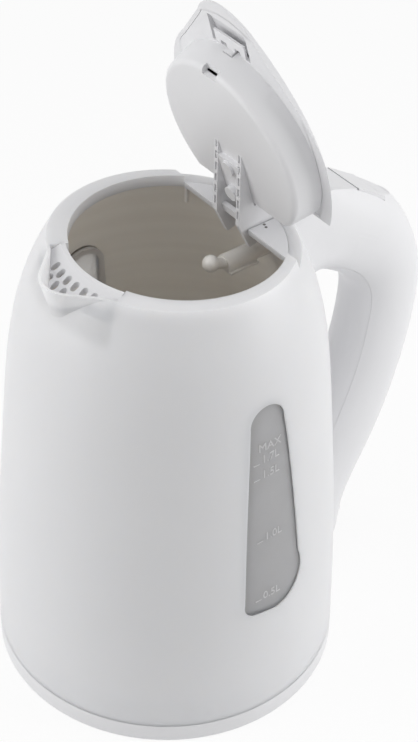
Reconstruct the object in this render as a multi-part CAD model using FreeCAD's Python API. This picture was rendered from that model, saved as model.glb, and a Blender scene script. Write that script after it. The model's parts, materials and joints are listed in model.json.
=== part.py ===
import FreeCAD, Part
import math
import os

from FreeCAD import Vector as V

# Cordless jug kettle with its lid open, in millimetres.
# The origin is on the jug's axis at the plane that it stands on: +Z up, handle to +X, spout to -X.

# Jug profile: radius at each height, then walls
BASE_RADIUS = 73.7
HIP_HEIGHT = 60.0
HIP_RADIUS = 71.8
WAIST_HEIGHT = 130.0
WAIST_RADIUS = 66.8
SHOULDER_HEIGHT = 185.0
SHOULDER_RADIUS = 58.4
CROWN_HEIGHT = 214.0
CROWN_RADIUS = 44.8
WALL = 3.0
FIT = 0.1

# Rim and opening
RIM_HEIGHT = 207.8
RIM_TILT = 2.9
OPENING_RADIUS = 42.6
OPENING_X = 4.1
COLLAR_DEPTH = 5.0

# Spout beak and strainer
SPOUT_TIP = 59.4
SPOUT_TIP_RADIUS = 12.5
SPOUT_HALF_ANGLE = 44.2
SPOUT_LOW = 194.0
SPOUT_TAPER = 5.3
SPOUT_WALL = 1.2
TROUGH_X = 36.0
POCKET_HALF_ANGLE = 26.0
STRAINER_THICKNESS = 4.2
STRAINER_SLOPE = 0.6
STRAINER_DEPTH = 9.6
STRAINER_INNER = 43.8
STRAINER_EDGE = 1.8
HOLE_WIDTH = 2.8
HOLE_LENGTH = 3.8
HOLE_ROWS = ((50.2, 6, 5.65), (54.2, 5, 5.55))

# Water windows, one each side
WINDOW_BOTTOM = 63.3
WINDOW_TOP = 166.9
WINDOW_SPOUT_EDGE = 13.2
WINDOW_HANDLE_EDGE = 15.0
WINDOW_FRONT_LOW = 8.7
WINDOW_FRONT_BULGE = 1.6
WINDOW_TOP_FRONT = (4.2, 8.6)
WINDOW_TOP_PEAK = 12.7
WINDOW_TOP_REAR = (7.4, 8.4)
WINDOW_REAR_BULGE = 2.5
WINDOW_REAR_LOW = 22.7
WINDOW_REAR_CORNER = (3.7, 4.2)
WINDOW_BOTTOM_REAR = 13.0
WINDOW_BOTTOM_FRONT = (3.7, 1.3)
WINDOW_FRONT_CORNER = (0.9, 3.6)
WINDOW_RECESS = 0.6
WINDOW_FLANGE = 2.2
WINDOW_FLANGE_THICKNESS = 1.6
WINDOW_SEAL = 1.0

# Base, heater and coupler
BASE_SEAM = 9.5
BASE_FLOOR_LOW = 1.5
BASE_FLOOR = 2.0
BASE_FILLET = 2.0
FLANGE_LOW = 24.0
FLANGE_THICKNESS = 3.0
SEAL_HEIGHT = 2.0
PLATE_THICKNESS = 1.2
SPREADER_RADIUS = 45.0
SPREADER_THICKNESS = 3.0
ELEMENT_RADIUS = 36.0
ELEMENT_TUBE = 3.5
ELEMENT_SPAN = 300.0
ELEMENT_FLAT = 0.7
TERMINAL_RADIUS = 1.6
TERMINAL_LENGTH = 5.0
LEAD_RADIUS = 0.8
CLAMP_GAP = 1.2
PLATE_MARGIN = 7.5
SEAL_WIDTH = 5.5
CLAMP_LAP = 9.5
CLAMP_THICKNESS = 4.0
CLAMP_SCREW_INSET = 3.5
CLAMP_SCREWS = 6
CLAMP_SCREW_PHASE = 30.0
POST_RADIUS = 3.0
BASE_BOSS_INSET = 5.0
BASE_SCREWS = 3
BASE_SCREW_PHASE = 60.0
BOSS_RADIUS = 4.0
SCREW_RADIUS = 1.5
SCREW_HEAD_RADIUS = 2.8
SCREW_HEAD_HEIGHT = 1.2
SCREW_BITE = 8.0
CONTROL_RADIUS = 26.0
CONTROL_LOW = 10.0
DISC_RADIUS = 8.0
DISC_THICKNESS = 0.6
DISC_OFFSET = 14.0
DISC_POCKET = 1.0
COUPLER_RADIUS = 19.0
COUPLER_LOW = 0.8
COUPLER_BORE = 4.5
COUPLER_BORE_DEPTH = 7.6
COUPLER_GROOVE_INNER = 9.0
COUPLER_GROOVE_OUTER = 12.5
COUPLER_GROOVE_DEPTH = 7.6
CONTACT_HEIGHT = 3.0
CONTACT_WALL = 1.0
WIRE_RADIUS = 1.0
WIRE_HEIGHT = 14.0
WIRE_SPACING = 5.0
WIRE_END = 80.0

# Lid hinge and lid; s runs from the hinge to the nose and t up from the hinge, with the lid shut
HINGE_X = 46.0
HINGE_Z = 201.0
OPEN_ANGLE = 70.7
PIN_RADIUS = 1.5
PIN_HALF = 13.0
RUNNING_FIT = 0.05
HUB_RADIUS = 4.0
HUB_ROOM = 1.0
LUG_INNER = 8.8
LUG_OUTER = 32.0
LUG_LOW = 194.0
LUG_HIGH = 202.6
LUG_PLATE = 1.4
LUG_BOSS = 5.0
LUG_BOSS_WALL = 1.5
LUG_REACH = 14.2
CAP_THICKNESS = 0.9
LID_REAR = 14.7
LID_REAR_HALF = 39.0
LID_MIDDLE = 45.0
LID_HALF = 46.4
LID_SHOULDER = 75.0
LID_SHOULDER_HALF = 31.8
NOSE_START = 93.0
NOSE_HALF = 16.8
LID_TIP = 103.2
LID_EDGE = 4.8
COVER_WALL = 1.6
DOME_APEX = 45.0
DOME_TOP = 12.4
DOME_LENGTH_RADIUS = 240.0
DOME_CROSS_RADIUS = 140.0
DOME_REACH = 62.0
DOME_SPREAD = 60.0
PAN_DEPTH = 12.0
PAN_CENTRE = 41.8
PAN_RADIUS = 38.1
PAN_DRAFT = 2.0
PAN_WALL = 2.0
PAN_ROUND = 2.5
PAN_FLANGE_LIFT = 0.2
PAN_FLANGE = 1.6
PAN_NOTCH_HALF = 4.0
PAN_NOTCH = 3.0
RIB_OFFSET = 7.0
RIB_THICKNESS = 2.2
RIB_TOP_S = 41.9
RIB_LOW_S = 10.2
RIB_LOW_T = -16.2
RIB_TIP_S = -3.2
RIB_TIP_T = -14.0
RIB_SLOTS = 6
RIB_SLOT_PITCH = 5.2
RIB_SLOT_LENGTH = 3.6
RIB_SLOT_WIDTH = 1.1
RIB_SLOT_DEPTH = 1.6
RIB_SLOT_START = 3.0
YOKE_WEB = 2.0
YOKE_WEB_LENGTH = 21.0
YOKE_BOSS_RADIUS = 3.2
YOKE_SCREWS = ((19.5, 4.6), (32.0, 3.2))
BRIDGE_START = 8.0
BRIDGE_END = 12.0
BRIDGE_LOW = -13.2
BRIDGE_HIGH = -11.3

# Latch in the lid's nose
LATCH_HALF = 8.8
LATCH_BAR_START = 84.0
LATCH_BAR_END = 88.0
LATCH_ARM_START = 82.2
LATCH_ARM_WIDTH = 3.0
LATCH_LOW = 4.75
LATCH_HIGH = 5.55
LATCH_POCKET = 0.6
LATCH_RISER = 2.7
LATCH_STOP_S = 38.0
LATCH_STOP = 2.0
LATCH_SPRING_T = 0.2
LATCH_SPRING_LENGTH = 7.0
LATCH_WINDOW_START = 81.6
LATCH_WINDOW_END = 94.0
LATCH_WINDOW_HALF = 11.0
LATCH_TAIL_END = 12.6
LATCH_TAIL_LOW = 2.9
LATCH_TAIL_HIGH = 4.5
LATCH_TAIL_HALF = 2.4

# Springs
LID_SPRING_RADIUS = 2.6
LID_SPRING_WIRE = 0.8
LID_SPRING_TURNS = 5
LID_SPRING_LENGTH = 9.0
SMALL_SPRING_RADIUS = 2.2
SMALL_SPRING_WIRE = 0.6
SMALL_SPRING_TURNS = 5
COIL_SAMPLES = 5

# Handle: stations along its middle line (x, z, direction in degrees, half thickness)
HANDLE_STATIONS = (
    (47.5, 189.0, -8.0, 29.5),
    (73.5, 186.5, -19.0, 25.5),
    (92.0, 176.5, -38.0, 21.0),
    (106.0, 162.0, -60.0, 19.0),
    (113.0, 145.0, -82.0, 17.9),
    (113.3, 128.0, -94.0, 17.8),
    (107.2, 97.0, -109.0, 17.9),
    (93.8, 62.0, -111.5, 17.8),
    (79.8, 27.0, -111.8, 17.4),
    (72.0, 7.5, -111.8, 17.0),
)
HANDLE_HALF_WIDTH = 16.0
HANDLE_WALL = 3.0
HANDLE_FOOT = 12.0
INNER_COVER_RISE = 4.5
HANDLE_SCREW_STATIONS = (7,)
HANDLE_SCREW_LENGTH = 14.0

# Flat top of the handle: plate, then thumb button
TOP_LINE = ((40.0, 215.4), (73.5, 207.0), (88.0, 200.6), (112.0, 185.1))
TOP_HALF = 9.8
TOP_PLATE_START = 56.0
TOP_PLATE_END = 87.4
TOP_PLATE_THICKNESS = 2.0
TOP_FLOOR = 2.0
BUTTON_START = 88.6
BUTTON_END = 103.5
BUTTON_SHIFT = 1.8
BUTTON_SPRING_LENGTH = 7.0
BUTTON_STEM_HALF = 4.0
ROD_HALF = 2.4
ROD_LOW = 204.4
ROD_HIGH = 206.4
ROD_TIP = 36.2
ROD_BEND = 58.0
ROD_END_X = 90.0
ROD_END_Z = 190.5
ROD_END_HALF = 3.0
CAM_GAP = 0.3
GUIDE_X = 51.0
GUIDE_LENGTH = 4.0
GUIDE_DEPTH = 4.0

# Steam path and switch
STEAM_HEIGHT = 183.4
STEAM_BORE = 2.4
STEAM_HOOD_FRONT = 27.0
STEAM_HOOD_END = 41.0
STEAM_HOOD_RADIUS = 4.2
STEAM_HOOD_DROP = 2.4
STEAM_LIP = 5.2
STEAM_LIP_THICKNESS = 1.0
STEAM_BALL_X = 20.6
STEAM_BALL_HEIGHT = 186.8
STEAM_BALL_RADIUS = 3.5
STEAM_NECK = 2.3
STEAM_STEM = 3.4
TUBE_OFFSET = 9.7
TUBE_RADIUS = 3.0
TUBE_WALL = 0.8
SWITCH_X = 84.0
SWITCH_Z = 30.0
SWITCH_LENGTH = 16.0
SWITCH_HALF = 9.0
SWITCH_HEIGHT = 11.0
LEVER_X = 87.0
LEVER_Z = 19.0
LEVER_HALF = 6.0
LEVER_LENGTH = 10.0
LEVER_THICKNESS = 4.0
LEVER_PIN_RADIUS = 1.2
LEVER_PIN_HALF = 12.0


def box(x, y, z):
    """Box between a pair of limits on each axis."""
    return Part.makeBox(x[1] - x[0], y[1] - y[0], z[1] - z[0], V(x[0], y[0], z[0]))


def bar(radius, start, end):
    """Round bar from one point to another."""
    way = end.sub(start)
    return Part.makeCylinder(radius, way.Length, start, way)


def disc(radius, low, high, x=0.0, y=0.0):
    """Upright cylinder between two heights."""
    return Part.makeCylinder(radius, high - low, V(x, y, low))


def ring(outer, inner, low, high):
    """Upright tube about the jug's axis."""
    return disc(outer, low, high).cut(disc(inner, low, high))


def slab(points, low, high):
    """Polygon in the XZ plane, given as (x, z), made solid between two values of y."""
    corners = [V(x, low, z) for x, z in points]
    face = Part.Face(Part.makePolygon(corners + corners[:1]))
    return face.extrude(V(0, high - low, 0))


def around(count, radius, phase=0.0):
    """Places spaced evenly on a circle about the jug's axis."""
    for i in range(count):
        angle = math.radians(phase + 360.0 * i / count)
        yield radius * math.cos(angle), radius * math.sin(angle)


def fuse(shapes):
    """One solid from overlapping ones."""
    whole = shapes[0]
    for shape in shapes[1:]:
        whole = whole.fuse(shape)
    return whole.removeSplitter()


def coil(radius, wire, turns, length):
    """Wire coil about +Z from z = 0, as one tube on quarter-turn arcs, with its least gap to itself."""
    pitch = (length - wire) / turns
    steps = turns * 4

    def point(quarter):
        angle = quarter * math.pi / 2
        return V(radius * math.cos(angle), radius * math.sin(angle), wire / 2 + pitch * quarter / 4)

    edges = [Part.Arc(point(i), point(i + 0.5), point(i + 1)).toShape() for i in range(steps)]
    spine = Part.Wire(edges)
    way = edges[0].tangentAt(edges[0].FirstParameter)
    section = Part.Wire(Part.Circle(point(0), way, wire / 2).toShape())
    tube = spine.makePipeShell([section], True, False)
    points = [p for edge in edges for p in edge.discretize(COIL_SAMPLES)[1:]]
    half_turn = 2 * (COIL_SAMPLES - 1)
    gap = min(p.distanceToPoint(q) for i, p in enumerate(points) for q in points[i + half_turn:])
    print("coil gap", round(gap - wire, 2))
    return tube


def place_on(shape, origin, axis):
    """Moves a shape made about +Z so that its axis runs along another direction."""
    moved = shape.copy()
    moved.Placement = FreeCAD.Placement(origin, FreeCAD.Rotation(V(0, 0, 1), axis))
    return moved


def jug_curve(offset):
    """Side of the jug in the XZ plane, moved outwards by offset."""
    heights = ((0.0, BASE_RADIUS), (HIP_HEIGHT, HIP_RADIUS), (WAIST_HEIGHT, WAIST_RADIUS),
               (SHOULDER_HEIGHT, SHOULDER_RADIUS), (CROWN_HEIGHT, CROWN_RADIUS))
    curve = Part.BSplineCurve()
    curve.interpolate([V(radius + offset, 0, z) for z, radius in heights])
    return curve


def jug_solid(offset=0.0):
    """Whole jug as a solid of revolution, its side moved outwards by offset."""
    side = jug_curve(offset).toShape()
    low, high = V(0, 0, 0), V(0, 0, CROWN_HEIGHT)
    wire = Part.Wire([
        Part.makeLine(low, side.valueAt(side.FirstParameter)),
        side,
        Part.makeLine(side.valueAt(side.LastParameter), high),
        Part.makeLine(high, low),
    ])
    return Part.Face(wire).revolve(V(0, 0, 0), V(0, 0, 1), 360)


def jug_radius(height):
    """Outer radius of the jug at a height."""
    curve = jug_curve(0.0)
    low, high = curve.FirstParameter, curve.LastParameter
    for _ in range(40):
        middle = (low + high) / 2
        if curve.value(middle).z < height:
            low = middle
        else:
            high = middle
    return curve.value(low).x


# Heater sizes that follow the wall at the heater's flange
CLAMP_OUTER = jug_radius(FLANGE_LOW) - WALL - CLAMP_GAP
PLATE_RADIUS = CLAMP_OUTER - PLATE_MARGIN
FLANGE_BORE = PLATE_RADIUS - SEAL_WIDTH
CLAMP_INNER = PLATE_RADIUS - CLAMP_LAP
CLAMP_SCREW_CIRCLE = CLAMP_OUTER - CLAMP_SCREW_INSET
BASE_SCREW_CIRCLE = CLAMP_INNER + BASE_BOSS_INSET


def above_rim(drop=0.0):
    """Everything above the tilted rim plane, or a plane parallel to it and lower by drop."""
    reach = 2 * BASE_RADIUS
    block = box((-reach, reach), (-reach, reach), (0, CROWN_HEIGHT))
    block.rotate(V(0, 0, 0), V(0, 1, 0), RIM_TILT)
    block.translate(V(0, 0, RIM_HEIGHT - drop))
    return block


def rim_height(x):
    """Height of the rim plane at a place along the jug."""
    return RIM_HEIGHT - x * math.tan(math.radians(RIM_TILT))


def spout_outline(inset, end_x, z):
    """Plan of the beak: two straight sides and a round tip, closed across at end_x."""
    half = math.radians(SPOUT_HALF_ANGLE)
    centre = -SPOUT_TIP + SPOUT_TIP_RADIUS
    radius = SPOUT_TIP_RADIUS - inset
    touch_x = centre - radius * math.sin(half)
    touch_y = radius * math.cos(half)
    end_y = touch_y + (end_x - touch_x) * math.tan(half)
    near, far = V(touch_x, -touch_y, z), V(touch_x, touch_y, z)
    return Part.Wire([
        Part.makeLine(V(end_x, -end_y, z), near),
        Part.Arc(near, V(centre - radius, 0, z), far).toShape(),
        Part.makeLine(far, V(end_x, end_y, z)),
        Part.makeLine(V(end_x, end_y, z), V(end_x, -end_y, z)),
    ])


def spout_wedge(inset, end_x):
    """Beak as a solid that narrows downwards into the jug's side."""
    low = spout_outline(inset + SPOUT_TAPER, end_x, SPOUT_LOW)
    high = spout_outline(inset, end_x, CROWN_HEIGHT)
    return Part.makeLoft([low, high], True, True)


def window_outline(offset):
    """Window outline in the XZ plane: narrow round top, small front corner, large rear corner."""
    front, rear = -WINDOW_SPOUT_EDGE, WINDOW_HANDLE_EDGE
    low, high = WINDOW_BOTTOM, WINDOW_TOP
    middle = (low + high) / 2
    front_low = V(front, 0, low + WINDOW_FRONT_LOW)
    front_high = V(front + WINDOW_TOP_FRONT[0], 0, high - WINDOW_TOP_FRONT[1])
    rear_high = V(rear - WINDOW_TOP_REAR[0], 0, high - WINDOW_TOP_REAR[1])
    rear_low = V(rear, 0, low + WINDOW_REAR_LOW)
    rear_corner = V(rear - WINDOW_REAR_CORNER[0], 0, low + WINDOW_REAR_CORNER[1])
    bottom_rear = V(rear - WINDOW_BOTTOM_REAR, 0, low)
    bottom_front = V(front + WINDOW_BOTTOM_FRONT[0], 0, low + WINDOW_BOTTOM_FRONT[1])
    front_corner = V(front + WINDOW_FRONT_CORNER[0], 0, low + WINDOW_FRONT_CORNER[1])
    wire = Part.Wire([
        Part.Arc(front_low, V(front + WINDOW_FRONT_BULGE, 0, middle), front_high).toShape(),
        Part.Arc(front_high, V(front + WINDOW_TOP_PEAK, 0, high), rear_high).toShape(),
        Part.Arc(rear_high, V(rear - WINDOW_REAR_BULGE, 0, middle), rear_low).toShape(),
        Part.Arc(rear_low, rear_corner, bottom_rear).toShape(),
        Part.makeLine(bottom_rear, bottom_front),
        Part.Arc(bottom_front, front_corner, front_low).toShape(),
    ])
    return wire.makeOffset2D(offset) if offset else wire


def window_prism(offset):
    """Window outline cut straight through the far side of the jug."""
    face = Part.Face(window_outline(offset))
    return face.extrude(V(0, 2 * BASE_RADIUS, 0))


def jug_layer(outer, inner):
    """Quarter of the jug's skin, round its far side, between two depths below the surface."""
    skin, back = jug_curve(-outer).toShape(), jug_curve(-inner).toShape()
    wire = Part.Wire([
        Part.makeLine(back.valueAt(back.FirstParameter), skin.valueAt(skin.FirstParameter)),
        skin,
        Part.makeLine(skin.valueAt(skin.LastParameter), back.valueAt(back.LastParameter)),
        back,
    ])
    layer = Part.Face(wire).revolve(V(0, 0, 0), V(0, 0, 1), 90)
    layer.rotate(V(0, 0, 0), V(0, 0, 1), 45)
    return layer


def near_side(shape):
    """Copy of a far-side piece on the near side of the jug."""
    return shape.mirror(V(0, 0, 0), V(0, 1, 0))


def lid_frame(shape):
    """Turns a shape made about the hinge with the lid shut to its open place."""
    moved = shape.copy()
    moved.rotate(V(0, 0, 0), V(0, 1, 0), OPEN_ANGLE + RIM_TILT)
    moved.translate(V(HINGE_X, 0, HINGE_Z))
    return moved


def make_body_shell():
    """Jug wall with its collar, beak, heater flange, hinge lugs and openings."""
    flange_high = FLANGE_LOW + FLANGE_THICKNESS
    cavity = jug_solid(-WALL).cut(above_rim(COLLAR_DEPTH))
    cavity = cavity.cut(disc(2 * BASE_RADIUS, 0, flange_high))
    chamber = jug_solid(-WALL).common(disc(2 * BASE_RADIUS, BASE_SEAM, FLANGE_LOW))
    shell = jug_solid().fuse(spout_wedge(0.0, -TROUGH_X + SPOUT_TIP_RADIUS))
    shell = shell.cut(cavity).cut(chamber).cut(above_rim())
    shell = shell.cut(disc(2 * BASE_RADIUS, 0, BASE_SEAM))
    shell = shell.cut(disc(FLANGE_BORE, BASE_SEAM, flange_high))
    shell = shell.cut(disc(OPENING_RADIUS, LUG_LOW, CROWN_HEIGHT, OPENING_X))
    shell = shell.cut(spout_pocket(0.0))
    clamp_top = FLANGE_LOW - SEAL_HEIGHT - PLATE_THICKNESS
    for x, y in around(CLAMP_SCREWS, CLAMP_SCREW_CIRCLE, CLAMP_SCREW_PHASE):
        shell = shell.fuse(disc(POST_RADIUS, clamp_top, FLANGE_LOW, x, y))
        shell = shell.cut(disc(SCREW_RADIUS, clamp_top, FLANGE_LOW, x, y))
    lug_front = HINGE_X - LUG_REACH
    for side in (-1, 1):
        limits = sorted((side * LUG_INNER, side * LUG_OUTER))
        plate = box((lug_front, HINGE_X + LUG_REACH), limits, (LUG_HIGH - LUG_PLATE, LUG_HIGH))
        boss_limits = sorted((side * LUG_INNER, side * (PIN_HALF + LUG_BOSS_WALL)))
        boss = box((HINGE_X - LUG_BOSS, HINGE_X + LUG_REACH), boss_limits, (HINGE_Z - LUG_BOSS, LUG_HIGH))
        rib_limits = sorted((side * LUG_OUTER, side * (LUG_OUTER - LUG_PLATE)))
        rib = box((lug_front, lug_front + LUG_PLATE), rib_limits, (LUG_LOW, LUG_HIGH))
        shell = shell.fuse(fuse([plate, boss, rib]).common(jug_solid(-WALL / 2)))
    reach = 2 * BASE_RADIUS
    shell = shell.cut(box((lug_front, reach), (-reach, reach), (LUG_HIGH + CAP_THICKNESS, CROWN_HEIGHT)))
    shell = shell.cut(hinge_room())
    shell = shell.cut(bar(PIN_RADIUS, V(HINGE_X, -PIN_HALF, HINGE_Z), V(HINGE_X, PIN_HALF, HINGE_Z)))
    window = window_prism(0.0)
    shell = shell.cut(window).cut(near_side(window))
    shell = shell.cut(bar(STEAM_BORE, V(0, 0, STEAM_HEIGHT), V(reach, 0, STEAM_HEIGHT)))
    wires = box((CLAMP_INNER, reach), (-WIRE_SPACING, WIRE_SPACING),
                (WIRE_HEIGHT - 2 * WIRE_RADIUS, WIRE_HEIGHT + 2 * WIRE_RADIUS))
    return shell.cut(wires).removeSplitter()


def hinge_room():
    """Room for the lid's hubs between the lugs, open upwards."""
    radius = HUB_RADIUS + HUB_ROOM
    hubs = bar(radius, V(HINGE_X, -LUG_INNER, HINGE_Z), V(HINGE_X, LUG_INNER, HINGE_Z))
    slot = box((HINGE_X - LUG_REACH, HINGE_X + radius), (-LUG_INNER, LUG_INNER), (HINGE_Z, CROWN_HEIGHT))
    return fuse([hubs, slot])


def pocket_sector(gap):
    """Sector of the collar in front of the opening, drawn in by gap at its sides."""
    half = math.radians(POCKET_HALF_ANGLE)
    near = OPENING_X - gap / math.sin(half)
    far = near - 2 * BASE_RADIUS
    spread = 2 * BASE_RADIUS * math.tan(half)
    corners = [V(near, 0, SPOUT_LOW), V(far, -spread, SPOUT_LOW), V(far, spread, SPOUT_LOW)]
    face = Part.Face(Part.makePolygon(corners + corners[:1]))
    return face.extrude(V(0, 0, CROWN_HEIGHT - SPOUT_LOW))


def spout_pocket(gap):
    """Room for the strainer in the beak and the collar, drawn in by gap."""
    inset = SPOUT_WALL + gap
    sector = pocket_sector(gap)
    return jug_solid(-inset).common(sector).fuse(spout_wedge(inset, -TROUGH_X - gap).common(sector))


def make_strainer():
    """Sloping perforated band in the beak, from the collar's front edge down to the lip."""
    top = rim_height(OPENING_X - STRAINER_INNER) - FIT
    edge = STRAINER_INNER + STRAINER_EDGE
    far = edge + STRAINER_DEPTH / STRAINER_SLOPE
    low = top - STRAINER_DEPTH
    profile = [
        V(STRAINER_INNER, 0, top),
        V(edge, 0, top),
        V(far, 0, low),
        V(far - STRAINER_THICKNESS, 0, low),
        V(STRAINER_INNER, 0, top - STRAINER_SLOPE * (STRAINER_THICKNESS - STRAINER_EDGE)),
    ]
    face = Part.Face(Part.makePolygon(profile + profile[:1]))
    band = face.revolve(V(0, 0, 0), V(0, 0, 1), 360)
    band.translate(V(OPENING_X, 0, 0))
    band = band.common(spout_pocket(FIT))
    for radius, count, step in HOLE_ROWS:
        for i in range(count):
            angle = math.radians(180.0 + step * (i - (count - 1) / 2))
            out = V(math.cos(angle), math.sin(angle), 0)
            middle = V(OPENING_X, 0, 0).add(out * radius)
            band = band.cut(long_hole(middle, out, low, top))
    return band.removeSplitter()


def long_hole(middle, way, low, high):
    """Upright round-ended hole with its length along way."""
    half = (HOLE_LENGTH - HOLE_WIDTH) / 2
    across = V(-way.y, way.x, 0) * (HOLE_WIDTH / 2)
    start, end = middle.sub(way * half), middle.add(way * half)
    corners = [start.add(across), end.add(across), end.sub(across), start.sub(across)]
    corners = [V(p.x, p.y, low) for p in corners]
    web = Part.Face(Part.makePolygon(corners + corners[:1])).extrude(V(0, 0, high - low))
    ends = [disc(HOLE_WIDTH / 2, low, high, p.x, p.y) for p in (start, end)]
    return web.fuse(ends[0]).fuse(ends[1])


def make_window():
    """Clear pane with a flange inside the wall."""
    depth = WALL + WINDOW_SEAL
    block = jug_layer(WINDOW_RECESS, depth + WINDOW_FLANGE_THICKNESS).common(window_prism(WINDOW_FLANGE))
    band = window_prism(2 * WINDOW_FLANGE).cut(window_prism(-FIT))
    return block.cut(jug_layer(-WINDOW_RECESS, depth).common(band))


def make_window_seal():
    """Soft ring between a window's flange and the wall."""
    band = window_prism(WINDOW_FLANGE).cut(window_prism(FIT))
    return jug_layer(WALL + FIT / 2, WALL + WINDOW_SEAL - FIT / 2).common(band)


def make_base_cover():
    """Foot ring and floor, with a hole for the coupler."""
    ring_solid = jug_solid().common(disc(2 * BASE_RADIUS, 0, BASE_SEAM))
    edges = [e for e in ring_solid.Edges if e.BoundBox.ZMax < FIT and e.Length > BASE_RADIUS]
    ring_solid = ring_solid.makeFillet(BASE_FILLET, edges)
    floor_high = BASE_FLOOR_LOW + BASE_FLOOR
    room = jug_solid(-WALL).common(disc(2 * BASE_RADIUS, floor_high, BASE_SEAM))
    cover = ring_solid.cut(room)
    cover = cover.cut(disc(BASE_SCREW_CIRCLE + BOSS_RADIUS, 0, BASE_FLOOR_LOW))
    cover = cover.cut(disc(COUPLER_RADIUS + FIT, 0, floor_high))
    for x, y in around(BASE_SCREWS, BASE_SCREW_CIRCLE, BASE_SCREW_PHASE):
        cover = cover.cut(disc(SCREW_RADIUS + FIT, 0, floor_high, x, y))
    return cover.removeSplitter()


def make_base_screws():
    """Screws through the floor into the clamp ring's bosses."""
    return Part.makeCompound([
        fuse([disc(SCREW_HEAD_RADIUS, BASE_FLOOR_LOW - SCREW_HEAD_HEIGHT + FIT, BASE_FLOOR_LOW, x, y),
              disc(SCREW_RADIUS, BASE_FLOOR_LOW, BASE_FLOOR_LOW + BASE_FLOOR + SCREW_BITE, x, y)])
        for x, y in around(BASE_SCREWS, BASE_SCREW_CIRCLE, BASE_SCREW_PHASE)
    ])


def heater_levels():
    """Heights of the heating plate's top and bottom and of the spreader's bottom."""
    plate_high = FLANGE_LOW - SEAL_HEIGHT
    plate_low = plate_high - PLATE_THICKNESS
    return plate_high, plate_low, plate_low - SPREADER_THICKNESS


def make_clamp_ring():
    """Ring that presses the heating plate up against its seal, with bosses for the base screws."""
    high = heater_levels()[1]
    low = high - CLAMP_THICKNESS
    clamp = ring(CLAMP_OUTER, CLAMP_INNER, low, high)
    for x, y in around(CLAMP_SCREWS, CLAMP_SCREW_CIRCLE, CLAMP_SCREW_PHASE):
        clamp = clamp.cut(disc(SCREW_RADIUS + FIT, low, high, x, y))
    floor_high = BASE_FLOOR_LOW + BASE_FLOOR
    for x, y in around(BASE_SCREWS, BASE_SCREW_CIRCLE, BASE_SCREW_PHASE):
        clamp = clamp.fuse(disc(BOSS_RADIUS, floor_high, low, x, y))
        clamp = clamp.cut(disc(SCREW_RADIUS, floor_high, floor_high + SCREW_BITE, x, y))
    return clamp.removeSplitter()


def make_clamp_screws():
    """Screws through the clamp ring into the posts of the jug."""
    high = heater_levels()[1]
    low = high - CLAMP_THICKNESS
    return Part.makeCompound([
        fuse([disc(SCREW_HEAD_RADIUS, low - SCREW_HEAD_HEIGHT, low, x, y),
              disc(SCREW_RADIUS, low, FLANGE_LOW, x, y)])
        for x, y in around(CLAMP_SCREWS, CLAMP_SCREW_CIRCLE, CLAMP_SCREW_PHASE)
    ])


def make_heating_element():
    """Sheathed horseshoe tube, flat where it is brazed to the spreader, with a terminal at each end."""
    top = heater_levels()[2]
    middle = top + ELEMENT_FLAT - ELEMENT_TUBE
    tube = Part.makeTorus(ELEMENT_RADIUS, ELEMENT_TUBE, V(0, 0, middle), V(0, 0, 1), 0, 360, ELEMENT_SPAN)
    tube.rotate(V(0, 0, 0), V(0, 0, 1), 180.0 - ELEMENT_SPAN / 2)
    tube = tube.cut(disc(2 * ELEMENT_RADIUS, top, top + ELEMENT_TUBE))
    pins = [disc(TERMINAL_RADIUS, middle - TERMINAL_LENGTH, middle, p.x, p.y) for p in element_ends()]
    return fuse([tube] + pins)


def element_ends():
    """Places of the heating element's two ends, drawn in along the tube by the terminal's radius."""
    inward = math.degrees(2 * TERMINAL_RADIUS / ELEMENT_RADIUS)
    for side in (-1, 1):
        angle = math.radians(side * (180.0 - ELEMENT_SPAN / 2 + inward))
        yield V(ELEMENT_RADIUS * math.cos(angle), ELEMENT_RADIUS * math.sin(angle), 0)


def make_element_leads():
    """Straps from the element's terminals to the control."""
    height = heater_levels()[2] + ELEMENT_FLAT - ELEMENT_TUBE - TERMINAL_LENGTH + LEAD_RADIUS + FIT
    leads = []
    for p in element_ends():
        out = V(p.x, p.y, 0).normalize()
        start = out * CONTROL_RADIUS
        end = out * (ELEMENT_RADIUS - TERMINAL_RADIUS)
        lead = bar(LEAD_RADIUS, V(start.x, start.y, height), V(end.x, end.y, height))
        lead = lead.cut(disc(CONTROL_RADIUS, 0, FLANGE_LOW))
        leads.append(lead.cut(disc(TERMINAL_RADIUS, 0, FLANGE_LOW, p.x, p.y)))
    return Part.makeCompound(leads)


def make_control_housing():
    """Thermal control under the spreader, with a pocket for each bimetal disc."""
    top = heater_levels()[2]
    housing = disc(CONTROL_RADIUS, CONTROL_LOW, top)
    for side in (-1, 1):
        housing = housing.cut(disc(DISC_RADIUS + FIT, top - DISC_POCKET, top, 0, side * DISC_OFFSET))
    return housing


def make_bimetal_discs():
    """Two snap discs on the floors of their pockets."""
    low = heater_levels()[2] - DISC_POCKET
    return Part.makeCompound([
        disc(DISC_RADIUS, low, low + DISC_THICKNESS, 0, side * DISC_OFFSET) for side in (-1, 1)
    ])


def make_coupler_socket():
    """Round socket with a centre bore and a ring groove, open underneath."""
    socket = disc(COUPLER_RADIUS, COUPLER_LOW, CONTROL_LOW)
    socket = socket.cut(disc(COUPLER_BORE, COUPLER_LOW, COUPLER_LOW + COUPLER_BORE_DEPTH))
    groove = ring(COUPLER_GROOVE_OUTER, COUPLER_GROOVE_INNER, COUPLER_LOW, COUPLER_LOW + COUPLER_GROOVE_DEPTH)
    return socket.cut(groove)


def make_coupler_contacts():
    """Two contact rings at the top of the groove."""
    high = COUPLER_LOW + COUPLER_GROOVE_DEPTH
    low = high - CONTACT_HEIGHT
    inner = ring(COUPLER_GROOVE_INNER + CONTACT_WALL, COUPLER_GROOVE_INNER, low, high)
    outer = ring(COUPLER_GROOVE_OUTER, COUPLER_GROOVE_OUTER - CONTACT_WALL, low, high)
    return Part.makeCompound([inner, outer])


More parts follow.
